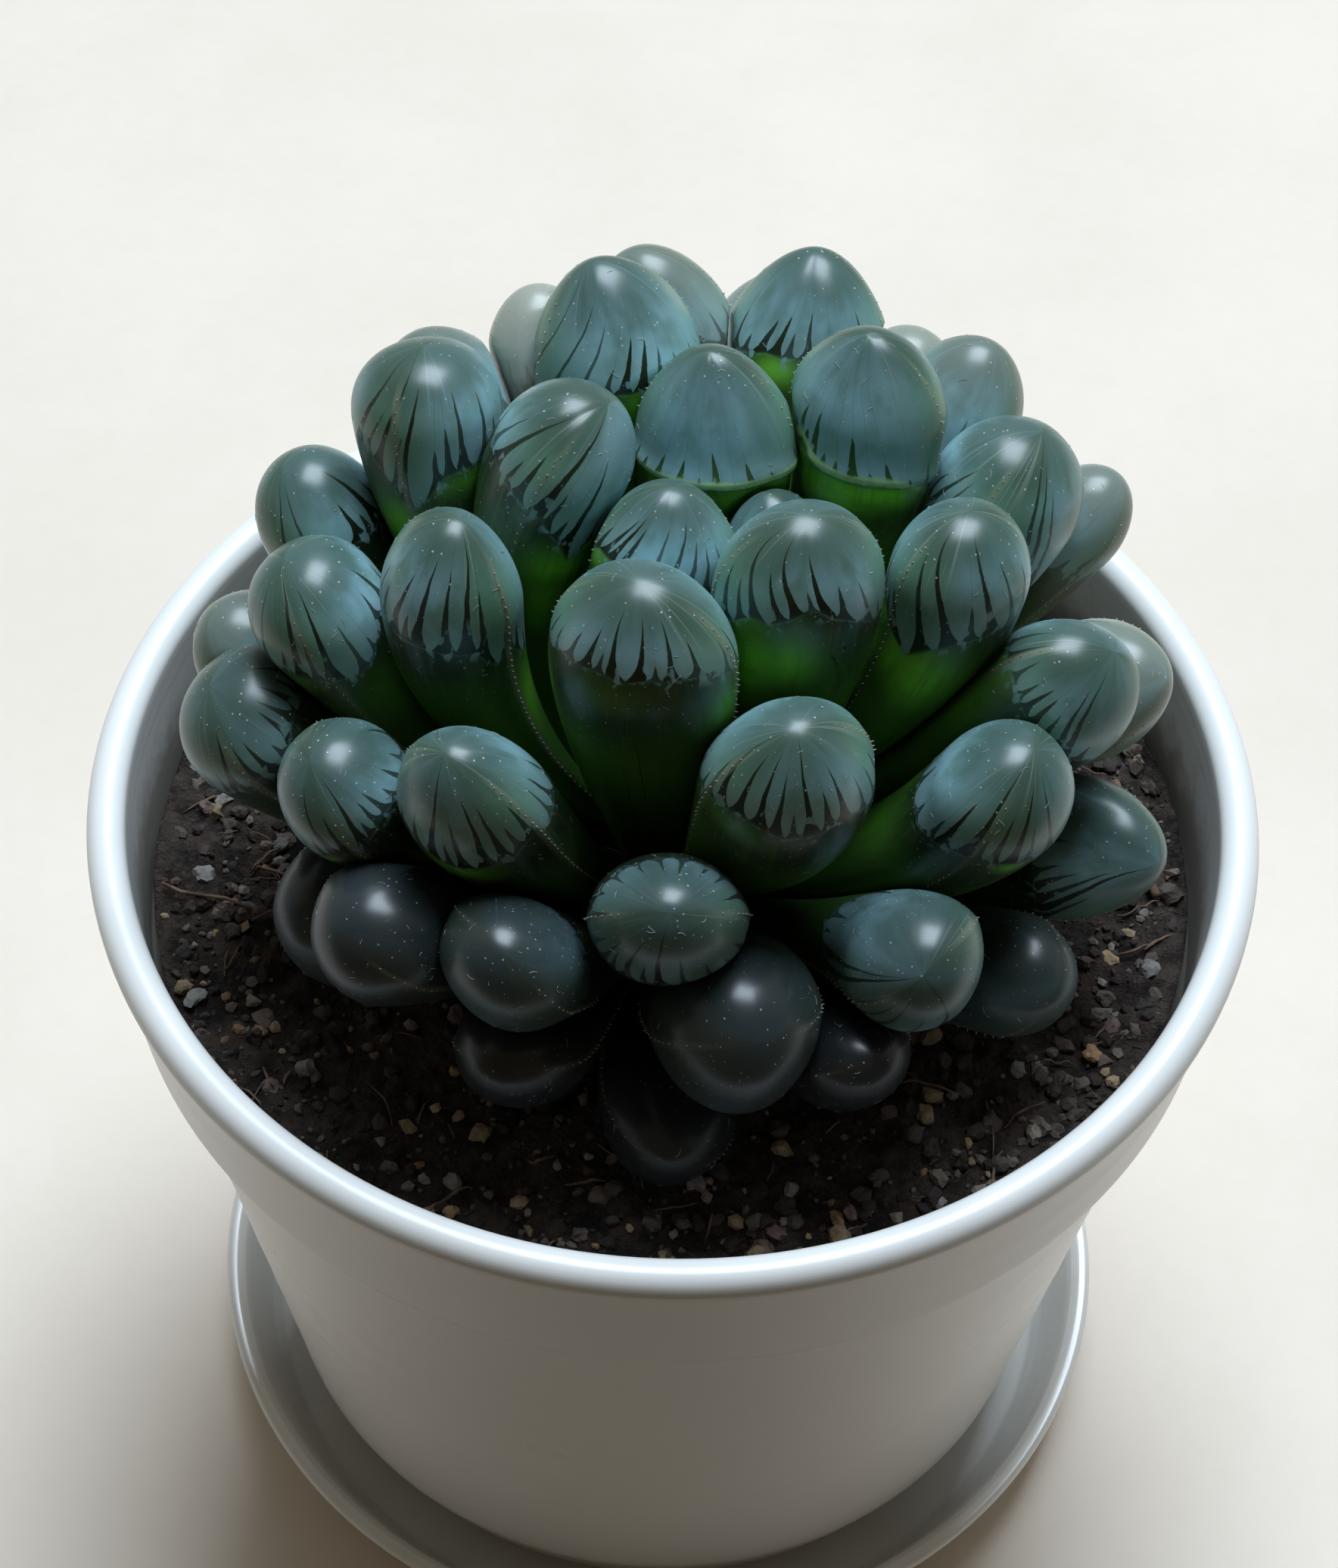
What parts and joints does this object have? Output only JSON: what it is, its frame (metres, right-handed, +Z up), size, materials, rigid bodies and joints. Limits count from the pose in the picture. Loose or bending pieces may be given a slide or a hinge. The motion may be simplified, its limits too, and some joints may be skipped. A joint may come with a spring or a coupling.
{
  "type": "potted haworthia obtusa",
  "caption": "Small rosette succulent with swollen, window-tipped leaves, growing in a round white pot that stands in a shallow saucer.",
  "frame": {"origin": "middle of the saucer's flat underside, on the surface the pot and saucer stand on", "axes": "+Z up along the axis of the pot, -Y towards the viewer, +X to the right as the viewer sees it"},
  "size_m": [0.0898, 0.09, 0.109],
  "materials": {
    "white_plastic_pot": "gloss",
    "white_plastic_saucer": "gloss",
    "soil": "matte",
    "stem": "matte",
    "leaf_window": "satin",
    "leaf_shaded": "satin"
  },
  "bodies": {
    "root": {"saucer": "white_plastic_saucer", "pot": "white_plastic_pot", "soil": "soil", "stem": "stem", "leaf_01": "leaf_window", "leaf_02": "leaf_window", "leaf_03": "leaf_window", "leaf_04": "leaf_window", "leaf_05": "leaf_window", "leaf_06": "leaf_window", "leaf_07": "leaf_window", "leaf_08": "leaf_window", "leaf_09": "leaf_window", "leaf_10": "leaf_window", "leaf_11": "leaf_window", "leaf_12": "leaf_window", "leaf_13": "leaf_window", "leaf_14": "leaf_window", "leaf_15": "leaf_window", "leaf_16": "leaf_window", "leaf_17": "leaf_window", "leaf_18": "leaf_window", "leaf_19": "leaf_window", "leaf_20": "leaf_window", "leaf_21": "leaf_window", "leaf_22": "leaf_window", "leaf_23": "leaf_window", "leaf_24": "leaf_window", "leaf_25": "leaf_window", "leaf_26": "leaf_window", "leaf_27": "leaf_window", "leaf_28": "leaf_window", "leaf_29": "leaf_window", "leaf_30": "leaf_window", "leaf_31": "leaf_window", "leaf_32": "leaf_window", "leaf_33": "leaf_window", "leaf_34": "leaf_shaded", "leaf_35": "leaf_shaded", "leaf_36": "leaf_shaded", "leaf_37": "leaf_shaded", "leaf_38": "leaf_shaded", "leaf_39": "leaf_shaded", "leaf_40": "leaf_shaded", "leaf_41": "leaf_shaded", "leaf_42": "leaf_window", "leaf_43": "leaf_window", "leaf_44": "leaf_window", "leaf_45": "leaf_window", "leaf_46": "leaf_window", "leaf_47": "leaf_window", "leaf_48": "leaf_window", "leaf_49": "leaf_window", "leaf_50": "leaf_window", "leaf_51": "leaf_window", "leaf_52": "leaf_window", "leaf_53": "leaf_window"}
  },
  "joints": []
}
